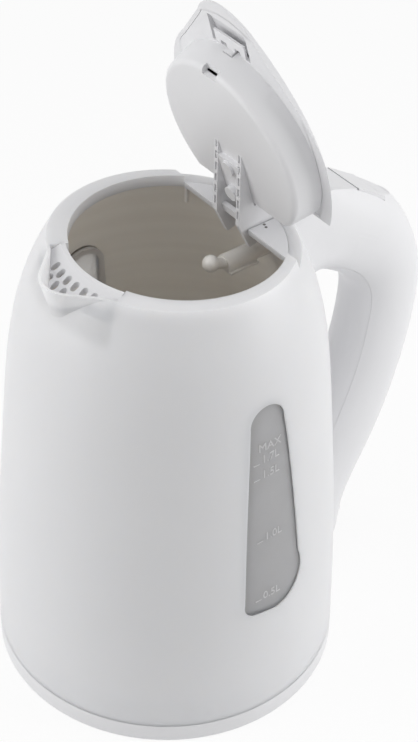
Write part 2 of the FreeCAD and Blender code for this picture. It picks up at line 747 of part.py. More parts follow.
def make_switch_wires():
    """Pair of wires from the control through the wall to the steam switch."""
    wires = []
    for y in (-WIRE_SPACING / 2, WIRE_SPACING / 2):
        corner = V(WIRE_END, y, WIRE_HEIGHT)
        level = bar(WIRE_RADIUS, V(0, y, WIRE_HEIGHT), corner).cut(disc(CONTROL_RADIUS, 0, FLANGE_LOW))
        rise = bar(WIRE_RADIUS, corner, V(WIRE_END, y, SWITCH_Z))
        wires.append(fuse([level, Part.makeSphere(WIRE_RADIUS, corner), rise]))
    return Part.makeCompound(wires)


def station_normal(station):
    """Direction square to the handle's middle line, pointing out of its loop."""
    angle = math.radians(station[2])
    return V(-math.sin(angle), 0, math.cos(angle))


def handle_loft(inset):
    """Handle as a loft through ellipses at its stations, drawn in by inset."""
    wires = []
    for station in HANDLE_STATIONS:
        centre = V(station[0], 0, station[1])
        out = centre.add(station_normal(station) * (station[3] - inset))
        side = centre.add(V(0, HANDLE_HALF_WIDTH - inset, 0))
        wires.append(Part.Wire(Part.Ellipse(out, side, centre).toShape()))
    return Part.makeLoft(wires, True, False)


def above_top(drop):
    """Everything above the handle's top line, lowered by drop."""
    line = [(x, z - drop) for x, z in TOP_LINE]
    high = CROWN_HEIGHT + DOME_TOP
    return slab(line + [(line[-1][0] + HANDLE_HALF_WIDTH, line[-1][1]),
                        (line[-1][0] + HANDLE_HALF_WIDTH, high), (line[0][0], high)],
                -2 * HANDLE_HALF_WIDTH, 2 * HANDLE_HALF_WIDTH)


def top_band(start, end, depth, half):
    """Flat strip of the handle's top between two places, down to a depth."""
    strip = above_top(depth).cut(above_top(0.0))
    return strip.common(box((start, end), (-half, half), (0, CROWN_HEIGHT + DOME_TOP)))


def inner_side(gap):
    """Room on the jug's side of the handle's parting line."""
    points = []
    for station in HANDLE_STATIONS[1:]:
        depth = station[3] - INNER_COVER_RISE - gap
        p = V(station[0], 0, station[1]).sub(station_normal(station) * depth)
        points.append(V(p.x, -2 * HANDLE_HALF_WIDTH, p.z))
    curve = Part.BSplineCurve()
    curve.interpolate(points)
    low = V(0, points[-1].y, points[-1].z)
    high = V(0, points[0].y, points[0].z)
    wire = Part.Wire([
        curve.toShape(),
        Part.makeLine(points[-1], low),
        Part.makeLine(low, high),
        Part.makeLine(high, points[0]),
    ])
    return Part.Face(wire).extrude(V(0, 4 * HANDLE_HALF_WIDTH, 0))


def handle_walls():
    """Hollow handle before it is split into shell and inner cover."""
    foot = disc(3 * BASE_RADIUS, -BASE_RADIUS, HANDLE_FOOT)
    outside = handle_loft(0.0).cut(above_top(0.0)).cut(jug_solid(FIT)).cut(foot)
    roof = TOP_PLATE_THICKNESS + TOP_FLOOR
    core = handle_loft(HANDLE_WALL).cut(above_top(roof))
    core = core.cut(disc(3 * BASE_RADIUS, -BASE_RADIUS, HANDLE_FOOT + HANDLE_WALL))
    return outside, core


def make_handle():
    """Handle shell and the inner cover that closes it towards the jug."""
    outside, core = handle_walls()
    walls = outside.cut(core)
    inner_cover = walls.common(inner_side(0.0))
    shell = walls.cut(inner_side(FIT))
    guide = box((GUIDE_X, GUIDE_X + GUIDE_LENGTH), (-HANDLE_HALF_WIDTH, HANDLE_HALF_WIDTH),
                (ROD_LOW - FIT - GUIDE_DEPTH, ROD_LOW - FIT))
    shell = shell.fuse(guide.common(outside)).fuse(button_shelf().common(outside))
    for index in HANDLE_SCREW_STATIONS:
        station = HANDLE_STATIONS[index]
        out = station_normal(station)
        centre = V(station[0], 0, station[1])
        seat = centre.sub(out * (station[3] - INNER_COVER_RISE - FIT))
        boss = bar(BOSS_RADIUS, seat, centre.add(out * station[3])).common(outside)
        shell = shell.fuse(boss.cut(inner_side(FIT)))
        hole_start = centre.sub(out * (station[3] + HANDLE_WALL))
        hole_end = centre.sub(out * (station[3] - HANDLE_WALL - HANDLE_SCREW_LENGTH))
        shell = shell.cut(bar(SCREW_RADIUS, hole_start, hole_end))
        inner_cover = inner_cover.cut(bar(SCREW_RADIUS + FIT, hole_start, hole_end))
        sink = centre.sub(out * (station[3] - SCREW_HEAD_HEIGHT))
        inner_cover = inner_cover.cut(bar(SCREW_HEAD_RADIUS + FIT, hole_start, sink))
    shell = shell.cut(top_band(TOP_PLATE_START, TOP_PLATE_END + FIT, TOP_PLATE_THICKNESS, TOP_HALF + FIT))
    depth = TOP_PLATE_THICKNESS + TOP_FLOOR + HANDLE_WALL
    shell = shell.cut(top_band(BUTTON_START - BUTTON_SHIFT, BUTTON_END + FIT, depth, TOP_HALF + FIT))
    slot = box((CLAMP_OUTER, LEVER_X + 2 * LEVER_LENGTH),
               (-LEVER_HALF - 2 * FIT, LEVER_HALF + 2 * FIT), (0, LEVER_Z + LEVER_THICKNESS))
    shell = shell.cut(slot)
    return shell.cut(make_switch_pin()), inner_cover


def make_handle_screws():
    """Screws through the inner cover into the shell's bosses."""
    screws = []
    for index in HANDLE_SCREW_STATIONS:
        station = HANDLE_STATIONS[index]
        out = station_normal(station)
        face = V(station[0], 0, station[1]).sub(out * (station[3] - SCREW_HEAD_HEIGHT))
        head = bar(SCREW_HEAD_RADIUS, face.sub(out * (SCREW_HEAD_HEIGHT - FIT)), face)
        screws.append(fuse([head, bar(SCREW_RADIUS, face, face.add(out * HANDLE_SCREW_LENGTH))]))
    return Part.makeCompound(screws)


def button_axes():
    """Slope direction and outward normal of the thumb button."""
    (x0, z0), (x1, z1) = TOP_LINE[2], TOP_LINE[3]
    slope = V(x1 - x0, 0, z1 - z0).normalize()
    return slope, V(-slope.z, 0, slope.x)


def cam_face(gap):
    """Ends of the sloping face between the button's stem and the rod, moved towards the button by gap."""
    out = button_axes()[1]
    angle = math.atan2(1.0 - out.x, out.z)
    normal = V(-math.cos(angle), 0, -math.sin(angle))
    along = V(normal.z, 0, -normal.x)
    middle = V(ROD_END_X, 0, ROD_END_Z).sub(normal * gap)
    return middle.add(along * ROD_END_HALF), middle.sub(along * ROD_END_HALF)


def make_release_button():
    """Sloping thumb button with the stem that drives the rod."""
    plate = top_band(BUTTON_START, BUTTON_END, TOP_PLATE_THICKNESS, TOP_HALF)
    slope, out = button_axes()
    low, high = sorted(cam_face(CAM_GAP), key=lambda p: p.z)
    rear = low.add(slope * (2 * ROD_END_HALF))
    top = out * (4 * ROD_END_HALF)
    stem = slab([(p.x, p.z) for p in (low, rear, rear.add(top), high.add(top), high)],
                -BUTTON_STEM_HALF, BUTTON_STEM_HALF)
    return plate.fuse(stem.cut(above_top(TOP_PLATE_THICKNESS / 2))).removeSplitter()


def button_spring_ends():
    """Middle of the stem's foot and of the shelf below it, the ends of the button's spring."""
    slope, out = button_axes()
    low = min(cam_face(CAM_GAP), key=lambda p: p.z)
    foot = low.add(slope * ROD_END_HALF)
    return foot, foot.sub(out * BUTTON_SPRING_LENGTH)


def button_shelf():
    """Shelf inside the handle that carries the button's spring."""
    slope, out = button_axes()
    seat = button_spring_ends()[1]
    half = slope * (2 * ROD_END_HALF)
    base = seat.sub(out * TOP_FLOOR)
    corners = (seat.sub(half), seat.add(half), base.add(half), base.sub(half))
    return slab([(p.x, p.z) for p in corners], -HANDLE_HALF_WIDTH, BUTTON_STEM_HALF)


def make_button_spring():
    """Spring that lifts the thumb button."""
    spring = coil(SMALL_SPRING_RADIUS, SMALL_SPRING_WIRE, SMALL_SPRING_TURNS, BUTTON_SPRING_LENGTH)
    return place_on(spring, button_spring_ends()[1], button_axes()[1])


def make_release_rod():
    """Flat bent rod from under the button to the rear of the lid."""
    low, high = sorted(cam_face(0.0), key=lambda p: p.z)
    points = [(ROD_TIP, ROD_LOW), (ROD_TIP, ROD_HIGH), (ROD_BEND, ROD_HIGH), (high.x, high.z),
              (low.x, low.z), (ROD_BEND, ROD_LOW)]
    return slab(points, -ROD_HALF, ROD_HALF)


def lid_outline(inset, low, high):
    """Plan of the lid with the nose to -X, made solid between two heights."""
    points = {}
    for name, s, half in (("rear", LID_REAR, LID_REAR_HALF), ("middle", LID_MIDDLE, LID_HALF),
                          ("shoulder", LID_SHOULDER, LID_SHOULDER_HALF), ("nose", NOSE_START, NOSE_HALF)):
        points[name] = (V(-s, half, low), V(-s, -half, low))
    tip = V(-LID_TIP, 0, low)
    wire = Part.Wire([
        Part.Arc(points["rear"][0], points["middle"][0], points["shoulder"][0]).toShape(),
        Part.makeLine(points["shoulder"][0], points["nose"][0]),
        Part.Arc(points["nose"][0], tip, points["nose"][1]).toShape(),
        Part.makeLine(points["nose"][1], points["shoulder"][1]),
        Part.Arc(points["shoulder"][1], points["middle"][1], points["rear"][1]).toShape(),
        Part.makeLine(points["rear"][1], points["rear"][0]),
    ])
    if inset:
        wire = wire.makeOffset2D(-inset)
    return Part.Face(wire).extrude(V(0, 0, high - low))


def lid_dome(drop):
    """Room under the lid's crowned top, lowered by drop."""
    half = DOME_REACH
    fall = DOME_LENGTH_RADIUS - math.sqrt(DOME_LENGTH_RADIUS ** 2 - half ** 2)
    top = DOME_TOP - drop
    front, rear = V(-DOME_APEX - half, 0, top - fall), V(-DOME_APEX + half, 0, top - fall)
    low = -DOME_CROSS_RADIUS / 2
    wire = Part.Wire([
        Part.Arc(front, V(-DOME_APEX, 0, top), rear).toShape(),
        Part.makeLine(rear, V(rear.x, 0, low)),
        Part.makeLine(V(rear.x, 0, low), V(front.x, 0, low)),
        Part.makeLine(V(front.x, 0, low), front),
    ])
    dome = Part.Face(wire)
    axis = V(0, 0, top - DOME_CROSS_RADIUS)
    dome.rotate(axis, V(1, 0, 0), -DOME_SPREAD / 2)
    return dome.revolve(axis, V(1, 0, 0), DOME_SPREAD)


def latch_window(low, high):
    """Room round the latch in the lid's nose."""
    return box((-LATCH_WINDOW_END, -LATCH_WINDOW_START), (-LATCH_WINDOW_HALF, LATCH_WINDOW_HALF), (low, high))


def make_lid_cover():
    """Crowned cover with a thin wall, thinner over the latch."""
    high = DOME_TOP + COVER_WALL
    outside = lid_outline(0.0, LID_EDGE, high).common(lid_dome(0.0))
    inside = lid_outline(COVER_WALL, LID_EDGE, high).common(lid_dome(COVER_WALL))
    pocket = latch_window(LID_EDGE, high).common(lid_dome(COVER_WALL - LATCH_POCKET))
    return outside.cut(inside).cut(pocket).removeSplitter()


def pan_cup(inset):
    """Tapered round cup, drawn in by inset, flat at the rear."""
    face = LID_EDGE - PAN_DEPTH + inset
    high = LID_EDGE + PAN_FLANGE_LIFT + PAN_FLANGE
    radius = PAN_RADIUS - inset
    cup = Part.makeCone(radius, radius + PAN_DRAFT, high - face, V(-PAN_CENTRE, 0, face))
    edges = [e for e in cup.Edges if e.BoundBox.ZMax < face + FIT]
    cup = cup.makeFillet(PAN_ROUND, edges)
    reach = 2 * PAN_RADIUS
    return cup.cut(box((-LID_REAR - inset, reach), (-reach, reach), (-reach, reach)))


def make_lid_pan():
    """Inner cup of the lid with its flange, latch window and front notch."""
    low = LID_EDGE + PAN_FLANGE_LIFT
    high = low + PAN_FLANGE
    room = lid_outline(COVER_WALL + FIT, -PAN_DEPTH, high).common(lid_dome(COVER_WALL + FIT))
    flange = room.common(lid_outline(0.0, low, high))
    pan = flange.fuse(pan_cup(0.0).common(room)).cut(pan_cup(PAN_WALL))
    pan = pan.cut(latch_window(low, high))
    face = LID_EDGE - PAN_DEPTH
    front = PAN_CENTRE + PAN_RADIUS
    notch = box((-front - PAN_NOTCH, -front + PAN_NOTCH), (-PAN_NOTCH_HALF, PAN_NOTCH_HALF),
                (face - FIT, face + PAN_NOTCH))
    gap = 3 * FIT
    half = LATCH_TAIL_HALF + gap
    tail_low = LATCH_TAIL_LOW - gap
    rear_slot = box((-LID_REAR - 2 * PAN_WALL, 0), (-half, half), (tail_low, LATCH_TAIL_HIGH + gap))
    front_slot = box((-LATCH_WINDOW_START - PAN_WALL, -LATCH_ARM_START + LATCH_RISER + gap), (-half, half),
                     (tail_low, high))
    pan = pan.cut(notch).cut(rear_slot).cut(front_slot)
    for s, _ in YOKE_SCREWS:
        pan = pan.cut(disc(SCREW_RADIUS + FIT, face, face + PAN_WALL, -s))
    stop_s = LATCH_STOP_S + LATCH_STOP + LATCH_SPRING_LENGTH
    stop = box((-stop_s - LATCH_STOP, -stop_s), (-LATCH_TAIL_HALF, LATCH_TAIL_HALF),
               (face + PAN_WALL, LATCH_TAIL_LOW - gap))
    return pan.fuse(stop).removeSplitter()


def make_hinge_yoke():
    """Two ribs with slotted edges on the pan's face, a web and a bridge between them, and a hub on each."""
    face = LID_EDGE - PAN_DEPTH
    outline = [(-RIB_TOP_S, face), (-RIB_LOW_S, RIB_LOW_T), (-RIB_TIP_S, RIB_TIP_T), (HUB_RADIUS, 0),
               (0, HUB_RADIUS), (-LID_REAR + FIT, LATCH_TAIL_LOW - PAN_WALL), (-LID_REAR + FIT, face)]
    along = V(RIB_TOP_S - RIB_LOW_S, 0, RIB_LOW_T - face).normalize()
    inward = V(-along.z, 0, along.x)
    ribs = []
    for side in (-1, 1):
        low = side * RIB_OFFSET - RIB_THICKNESS / 2
        rib = slab(outline, low, low + RIB_THICKNESS)
        rib = rib.fuse(bar(HUB_RADIUS, V(0, low, 0), V(0, low + RIB_THICKNESS, 0)))
        for i in range(RIB_SLOTS):
            start = V(-RIB_LOW_S, 0, RIB_LOW_T).sub(along * (RIB_SLOT_START + i * RIB_SLOT_PITCH))
            end = start.sub(along * RIB_SLOT_LENGTH)
            corners = [start.sub(inward * FIT), end.sub(inward * FIT),
                       end.add(inward * RIB_SLOT_DEPTH), start.add(inward * RIB_SLOT_DEPTH)]
            rib = rib.cut(slab([(p.x, p.z) for p in corners], side * RIB_OFFSET - RIB_SLOT_WIDTH / 2,
                               side * RIB_OFFSET + RIB_SLOT_WIDTH / 2))
        ribs.append(rib)
    web = box((-LID_REAR - YOKE_WEB_LENGTH, -LID_REAR), (-RIB_OFFSET, RIB_OFFSET), (face - YOKE_WEB, face))
    bridge = box((-BRIDGE_END, -BRIDGE_START), (-RIB_OFFSET, RIB_OFFSET), (BRIDGE_LOW, BRIDGE_HIGH))
    yoke = ribs[0].fuse(ribs[1]).fuse(web).fuse(bridge)
    for s, height in YOKE_SCREWS:
        yoke = yoke.fuse(disc(YOKE_BOSS_RADIUS, face - height, face, -s))
        yoke = yoke.cut(disc(SCREW_RADIUS, face - height + SCREW_HEAD_HEIGHT, face, -s))
    yoke = yoke.cut(bar(PIN_RADIUS + RUNNING_FIT, V(0, -PIN_HALF, 0), V(0, PIN_HALF, 0)))
    return yoke.removeSplitter()


def make_yoke_screws():
    """Screws through the pan's floor into the yoke's bosses."""
    face = LID_EDGE - PAN_DEPTH
    seat = face + PAN_WALL
    return Part.makeCompound([
        fuse([disc(SCREW_HEAD_RADIUS, seat, seat + SCREW_HEAD_HEIGHT, -s),
              disc(SCREW_RADIUS, face - height + SCREW_HEAD_HEIGHT, seat, -s)]) for s, height in YOKE_SCREWS
    ])


def make_latch_slider():
    """U-shaped latch in the nose with a long tail to the rear of the lid."""
    cross = box((-LATCH_BAR_END, -LATCH_BAR_START), (-LATCH_HALF, LATCH_HALF), (LATCH_LOW, LATCH_HIGH))
    arms = [box((-LATCH_BAR_END, -LATCH_ARM_START),
                sorted((side * LATCH_HALF, side * (LATCH_HALF - LATCH_ARM_WIDTH))), (LATCH_LOW, LATCH_HIGH))
            for side in (-1, 1)]
    riser = LATCH_ARM_START - LATCH_RISER
    tail = slab([(-LATCH_TAIL_END, LATCH_TAIL_LOW), (-LATCH_ARM_START, LATCH_TAIL_LOW),
                 (-LATCH_ARM_START, LATCH_LOW), (-LATCH_BAR_END, LATCH_LOW), (-LATCH_BAR_END, LATCH_HIGH),
                 (-riser, LATCH_HIGH), (-riser, LATCH_TAIL_HIGH), (-LATCH_TAIL_END, LATCH_TAIL_HIGH)],
                -LATCH_TAIL_HALF, LATCH_TAIL_HALF)
    fin = box((-LATCH_STOP_S - LATCH_STOP, -LATCH_STOP_S), (-LATCH_TAIL_HALF, LATCH_TAIL_HALF),
              (LATCH_SPRING_T - LATCH_TAIL_HALF, LATCH_TAIL_HIGH))
    return fuse([cross] + arms + [tail, fin])


def make_latch_spring():
    """Spring that draws the latch back, between its fin and the pan's stop."""
    spring = coil(SMALL_SPRING_RADIUS, SMALL_SPRING_WIRE, SMALL_SPRING_TURNS, LATCH_SPRING_LENGTH)
    return place_on(spring, V(-LATCH_STOP_S - LATCH_STOP, 0, LATCH_SPRING_T), V(-1, 0, 0))


def make_hinge_caps():
    """Light plates on top of the hinge lugs."""
    caps = []
    front = HINGE_X - LUG_REACH
    for side in (-1, 1):
        limits = sorted((side * LUG_INNER, side * LUG_OUTER))
        plate = box((front, HINGE_X + LUG_REACH), limits, (LUG_HIGH, LUG_HIGH + CAP_THICKNESS))
        plate = plate.common(disc(OPENING_RADIUS - FIT, LUG_LOW, CROWN_HEIGHT, OPENING_X))
        ends = [V(HINGE_X, reach, HINGE_Z) for reach in (-PIN_HALF - FIT, PIN_HALF + FIT)]
        groove = bar(PIN_RADIUS + 2 * FIT, ends[0], ends[1])
        caps.append(plate.cut(groove))
    return Part.makeCompound(caps)


def make_hinge_pin():
    """Steel pin through the lugs and the yoke's hubs."""
    return bar(PIN_RADIUS, V(HINGE_X, -PIN_HALF, HINGE_Z), V(HINGE_X, PIN_HALF, HINGE_Z))


def make_lid_spring():
    """Spring that holds the lid open, wound about the pin between the hubs."""
    spring = coil(LID_SPRING_RADIUS, LID_SPRING_WIRE, LID_SPRING_TURNS, LID_SPRING_LENGTH)
    return place_on(spring, V(HINGE_X, -LID_SPRING_LENGTH / 2, HINGE_Z), V(0, 1, 0))


def make_steam_inlet_cover():
    """Clear hood over the steam port: open below with a lip, a ball on its front and a stem to the wall."""
    axis = V(STEAM_HOOD_FRONT, 0, STEAM_HEIGHT)
    end = V(STEAM_HOOD_END, 0, STEAM_HEIGHT)
    low = STEAM_HEIGHT - STEAM_HOOD_DROP
    below = box((0, HINGE_X), (-STEAM_LIP, STEAM_LIP), (low - STEAM_HOOD_RADIUS, low))
    hood = bar(STEAM_HOOD_RADIUS, axis, end).cut(below)
    lip = box((STEAM_HOOD_FRONT, STEAM_HOOD_END), (-STEAM_LIP, STEAM_LIP), (low, low + STEAM_LIP_THICKNESS))
    middle = V(STEAM_BALL_X, 0, STEAM_BALL_HEIGHT)
    ball = Part.makeSphere(STEAM_BALL_RADIUS, middle)
    neck = bar(STEAM_NECK, middle, axis.add(V(STEAM_NECK, 0, 0)))
    wall = V(jug_radius(STEAM_HEIGHT), 0, STEAM_HEIGHT)
    cover = fuse([hood, lip, bar(STEAM_STEM, end, wall), neck, ball])
    bore_start = V(STEAM_HOOD_FRONT + 2 * STEAM_NECK, 0, STEAM_HEIGHT)
    cover = cover.cut(bar(STEAM_BORE, bore_start, V(2 * BASE_RADIUS, 0, STEAM_HEIGHT)))
    slot = box((bore_start.x, STEAM_HOOD_END - STEAM_NECK), (-STEAM_BORE, STEAM_BORE), (low, STEAM_HEIGHT))
    return cover.cut(slot).common(jug_solid(-WALL - FIT))


def make_steam_tube():
    """Tube down the handle from the steam port to the steam switch."""
    centres = [V(s[0], TUBE_OFFSET, s[1]) for s in HANDLE_STATIONS[1:8]]
    above, below = HANDLE_STATIONS[7], HANDLE_STATIONS[8]
    end_z = SWITCH_Z + SWITCH_HEIGHT + TUBE_RADIUS / 2
    share = (end_z - below[1]) / (above[1] - below[1])
    centres.append(V(below[0] + share * (above[0] - below[0]), TUBE_OFFSET, end_z))
    curve = Part.BSplineCurve()
    curve.interpolate(centres)
    spine = Part.Wire(curve.toShape())
    way = curve.tangent(curve.FirstParameter)[0]
    tubes = [spine.makePipeShell([Part.Wire(Part.Circle(centres[0], way, radius).toShape())], True, False)
             for radius in (TUBE_RADIUS, TUBE_RADIUS - TUBE_WALL)]
    return tubes[0].cut(tubes[1])


def make_steam_switch():
    """Snap switch block low in the handle."""
    block = box((SWITCH_X - SWITCH_LENGTH / 2, SWITCH_X + SWITCH_LENGTH / 2), (-SWITCH_HALF, SWITCH_HALF),
                (SWITCH_Z, SWITCH_Z + SWITCH_HEIGHT))
    return block.common(handle_walls()[1]).cut(jug_solid(FIT))


def make_switch_lever():
    """Rocker that sticks out at the foot of the handle, turning on its pin."""
    half = LEVER_THICKNESS / 2
    tab = slab([(LEVER_X, LEVER_Z + half), (LEVER_X + LEVER_LENGTH, LEVER_Z - half),
                (LEVER_X + LEVER_LENGTH, LEVER_Z - half - LEVER_THICKNESS / 2), (LEVER_X, LEVER_Z - half)],
               -LEVER_HALF, LEVER_HALF)
    start, end = V(LEVER_X, -LEVER_HALF, LEVER_Z), V(LEVER_X, LEVER_HALF, LEVER_Z)
    hub = bar(half + LEVER_PIN_RADIUS / 2, start, end)
    return fuse([tab, hub]).cut(bar(LEVER_PIN_RADIUS + RUNNING_FIT, start, end))


def make_switch_pin():
    """Pin of the switch lever, held in the handle's sides."""
    half = V(0, LEVER_PIN_HALF, 0)
    middle = V(LEVER_X, 0, LEVER_Z)
    return bar(LEVER_PIN_RADIUS, middle.sub(half), middle.add(half))


def main():
    """Builds every piece and writes one file for each."""
    os.makedirs("parts", exist_ok=True)
    plate_high, plate_low, spreader_low = heater_levels()
    handle_shell, handle_inner_cover = make_handle()
    pieces = {
        "body_shell": make_body_shell(),
        "strainer": make_strainer(),
        "window_near": near_side(make_window()),
        "window_far": make_window(),
        "window_seal_near": near_side(make_window_seal()),
        "window_seal_far": make_window_seal(),
        "base_cover": make_base_cover(),
        "base_screws": make_base_screws(),
        "heating_plate": disc(PLATE_RADIUS, plate_low, plate_high),
        "plate_seal": ring(PLATE_RADIUS, FLANGE_BORE, plate_high, FLANGE_LOW),
        "clamp_ring": make_clamp_ring(),
        "clamp_screws": make_clamp_screws(),
        "heat_spreader": disc(SPREADER_RADIUS, spreader_low, plate_low),
        "heating_element": make_heating_element(),
        "element_leads": make_element_leads(),
        "control_housing": make_control_housing(),
        "bimetal_discs": make_bimetal_discs(),
        "coupler_socket": make_coupler_socket(),
        "coupler_contacts": make_coupler_contacts(),
        "switch_wires": make_switch_wires(),
        "handle_shell": handle_shell,
        "handle_inner_cover": handle_inner_cover,
        "handle_screws": make_handle_screws(),
        "handle_top_plate": top_band(TOP_PLATE_START + FIT, TOP_PLATE_END, TOP_PLATE_THICKNESS, TOP_HALF),
        "hinge_caps": make_hinge_caps(),
        "hinge_pin": make_hinge_pin(),
        "lid_spring": make_lid_spring(),
        "steam_inlet_cover": make_steam_inlet_cover(),
        "steam_tube": make_steam_tube(),
        "steam_switch": make_steam_switch(),
        "switch_pin": make_switch_pin(),
        "lid_cover": lid_frame(make_lid_cover()),
        "lid_pan": lid_frame(make_lid_pan()),
        "hinge_yoke": lid_frame(make_hinge_yoke()),
        "yoke_screws": lid_frame(make_yoke_screws()),
        "latch_slider": lid_frame(make_latch_slider()),
        "latch_spring": lid_frame(make_latch_spring()),
        "button_spring": make_button_spring(),
        "release_button": make_release_button(),
        "release_rod": make_release_rod(),
        "switch_lever": make_switch_lever(),
    }
    for name, shape in pieces.items():
        shape.exportStep("parts/" + name + ".step")
        print(name, len(shape.Solids), shape.isValid(), round(shape.Volume / 1000, 2))


main()
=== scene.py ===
"""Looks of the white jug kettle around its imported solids."""

import json
import math

import bmesh
import bpy
from bpy.props import FloatProperty, FloatVectorProperty, PointerProperty
from mathutils import Matrix, Vector
from mathutils.bvhtree import BVHTree


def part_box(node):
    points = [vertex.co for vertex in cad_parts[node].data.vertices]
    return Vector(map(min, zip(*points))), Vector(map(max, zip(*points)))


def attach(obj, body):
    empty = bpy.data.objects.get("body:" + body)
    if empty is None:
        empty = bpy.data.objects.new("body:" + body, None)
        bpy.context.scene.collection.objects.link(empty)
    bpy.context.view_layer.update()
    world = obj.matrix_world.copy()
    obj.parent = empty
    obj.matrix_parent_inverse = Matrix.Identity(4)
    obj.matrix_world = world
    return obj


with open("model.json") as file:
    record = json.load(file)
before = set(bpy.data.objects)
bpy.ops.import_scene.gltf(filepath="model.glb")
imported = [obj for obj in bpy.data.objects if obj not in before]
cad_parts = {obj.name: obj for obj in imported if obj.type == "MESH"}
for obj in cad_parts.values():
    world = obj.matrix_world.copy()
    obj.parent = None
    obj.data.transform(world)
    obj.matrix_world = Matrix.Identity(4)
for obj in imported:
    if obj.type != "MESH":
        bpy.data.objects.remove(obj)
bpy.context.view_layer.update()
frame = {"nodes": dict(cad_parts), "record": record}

bl_info = {
    "name": "White jug kettle",
    "version": (1, 0, 0),
    "blender": (4, 5, 0),
    "location": "View3D > Sidebar > Kettle",
    "description": "Finishes, litre marks and small mouldings of a white jug kettle with an open lid",
    "category": "Object",
}

# Camera of the photograph, in metres, radians and pixels
IMAGE_WIDTH = 418
IMAGE_HEIGHT = 742
CAMERA_AZIMUTH = math.radians(37.5)
CAMERA_DISTANCE = 0.62264
CAMERA_HEIGHT = 0.65758
CAMERA_PITCH = 0.69173
CAMERA_ROLL = 0.01172
FOCAL_PIXELS = 2000.0
OPTICAL_CENTRE_X = 168.13
SENSOR_WIDTH = 36.0

# Outer radius of the jug in metres as a polynomial of the height in decimetres, highest power first
JUG_RADIUS = (-0.004342, 0.016838, -0.022759, 0.009568, -0.003825, 0.073712)
DECIMETRES = 10.0
RIM_HEIGHT = 0.2078
RIM_SLOPE = 0.0507
COLLAR_BAND = 0.0055
WALL_SKIN = 0.0014

# Clear opening of a window: a round top on sides that spread downwards, in metres
OPENING_TOP = 0.1586
OPENING_MIDDLE = -0.0005
OPENING_HALF = 0.0079
OPENING_SPREAD = 0.08

# Light through the jug's wall and the windows: share that enters and how deep it goes, in metres
WALL_GLOW = 0.7
WALL_DEPTH = 0.008
PANE_GLOW = 1.0
PANE_DEPTH = 0.038
INLET_GLOW = 0.15
LIGHT_TINT = (1.0, 0.96, 0.9)

# Grain of plastics: size and depth in metres
FINE_GRAIN = (0.0007, 0.000012)
PANE_GRAIN = (0.0005, 0.00002)
INLET_GRAIN = (0.0006, 0.000015)
SEAL_GRAIN = (0.0012, 0.00003)
RUBBER_GRAIN = (0.0012, 0.00004)
GRAIN_DETAIL = 3.0
GRAIN_ROUGHNESS = 0.12
PLASTIC_IOR = 1.47

# Roughness and coat of plastics
SATIN_ROUGHNESS = 0.36
INSIDE_ROUGHER = 0.2
PANE_ROUGHNESS = 0.34
FLANGE_ROUGHNESS = 0.5
INLET_ROUGHNESS = 0.3
SEAL_ROUGHNESS = 0.6
GREY_ROUGHNESS = 0.5
RUBBER_ROUGHNESS = 0.7
MARK_ROUGHNESS = 0.5
DOT_ROUGHNESS = 0.6
PANE_COAT = 0.3
PANE_COAT_ROUGHNESS = 0.2
INLET_COAT = 0.4

# Drift of a colour over a piece: features per metre, darkest and lightest share of the colour
MOULD_DRIFT = (22.0, 0.97, 1.025)
JUG_DRIFT = (16.0, 0.975, 1.02)
# The pane's foot is set darker than its head: painted shade, on top of the drift.
PANE_FOOT_SHADE_AND_DRIFT = (90.0, 0.87, 0.95)
PANE_HEAD_DRIFT = (90.0, 0.96, 1.05)
PANE_BACK_DRIFT = (90.0, 0.98, 1.02)
INLET_DRIFT = (120.0, 0.94, 1.04)
SEAL_DRIFT = (60.0, 0.94, 1.02)

# Heights between which a pane goes from its foot, darkened with painted shade, to its head, in metres
PANE_FOOT = 0.07
PANE_HEAD = 0.16

# Faint level lines on the inner wall: lines per metre along each axis, darkest and lightest share
WATER_LINES = (4.0, 4.0, 160.0)
WATER_LINE_SHADES = (0.93, 1.06)

# Colours of the pieces inside and of the dots
GREY = (0.22, 0.22, 0.235)
RUBBER = (0.55, 0.55, 0.54)
DOT_GREY = (0.17, 0.165, 0.16)

# Metals: name, colour, roughness and drawn lines per metre along each axis
METALS = {
    "steel": ("drawn_steel", (0.60, 0.60, 0.61), 0.3, (40.0, 900.0, 900.0)),
    "aluminium": ("cast_aluminium", (0.68, 0.68, 0.70), 0.45, (500.0, 500.0, 500.0)),
    "copper": ("copper_strip", (0.72, 0.46, 0.28), 0.35, (900.0, 60.0, 900.0)),
}
METAL_SHADES = (0.85, 1.1)
METAL_DETAIL = 4.0
METAL_LINE_DEPTH = 0.00001
METAL_LINE_ROUGHNESS = 0.2

# Litre marks: figures and the middle of their foot line on the window, in metres
LITRE_MARKS = (
    ("MAX", 0.0, 0.1468),
    ("1.7L", 0.0, 0.1412),
    ("1.5L", 0.0, 0.1338),
    ("1.0L", 0.001, 0.1022),
    ("0.5L", 0.0, 0.0714),
)
CAP_HEIGHT = 0.69
FIGURE_STEPS = 3
TICK_OFFSET = 0.0066
TICK_LENGTH = 0.003
TICK_HEIGHT = 0.0004
OUTSIDE = 0.2

# Dots on the hinge caps: place from the jug's axis towards the handle and to either side, in metres
HINGE_DOTS = ((0.0384, 0.0116), (0.0390, 0.0098))
DOT_RISE = 0.0001
DOT_CORNERS = 16

# Studio, in metres and watts
WHITE = (1.0, 1.0, 1.0, 1.0)
FLOOR_PAINT = (0.93, 0.93, 0.93, 1.0)
FLOOR_HALF = 3.0
FLOOR_GLOW = 0.9
WORLD_FILL = 0.37
LIGHT_TARGET = Vector((0.0, 0.0, 0.13))
STUDIO_PANELS = (
    ("left_panel", (-0.91, 0.43, 0.55), (0.8, 1.0), 5.6),
    ("right_panel", (0.76, -0.74, 0.55), (0.8, 1.0), 6.6),
    ("top_panel", (0.0, 0.0, 1.3), (0.9, 0.9), 2.4),
)


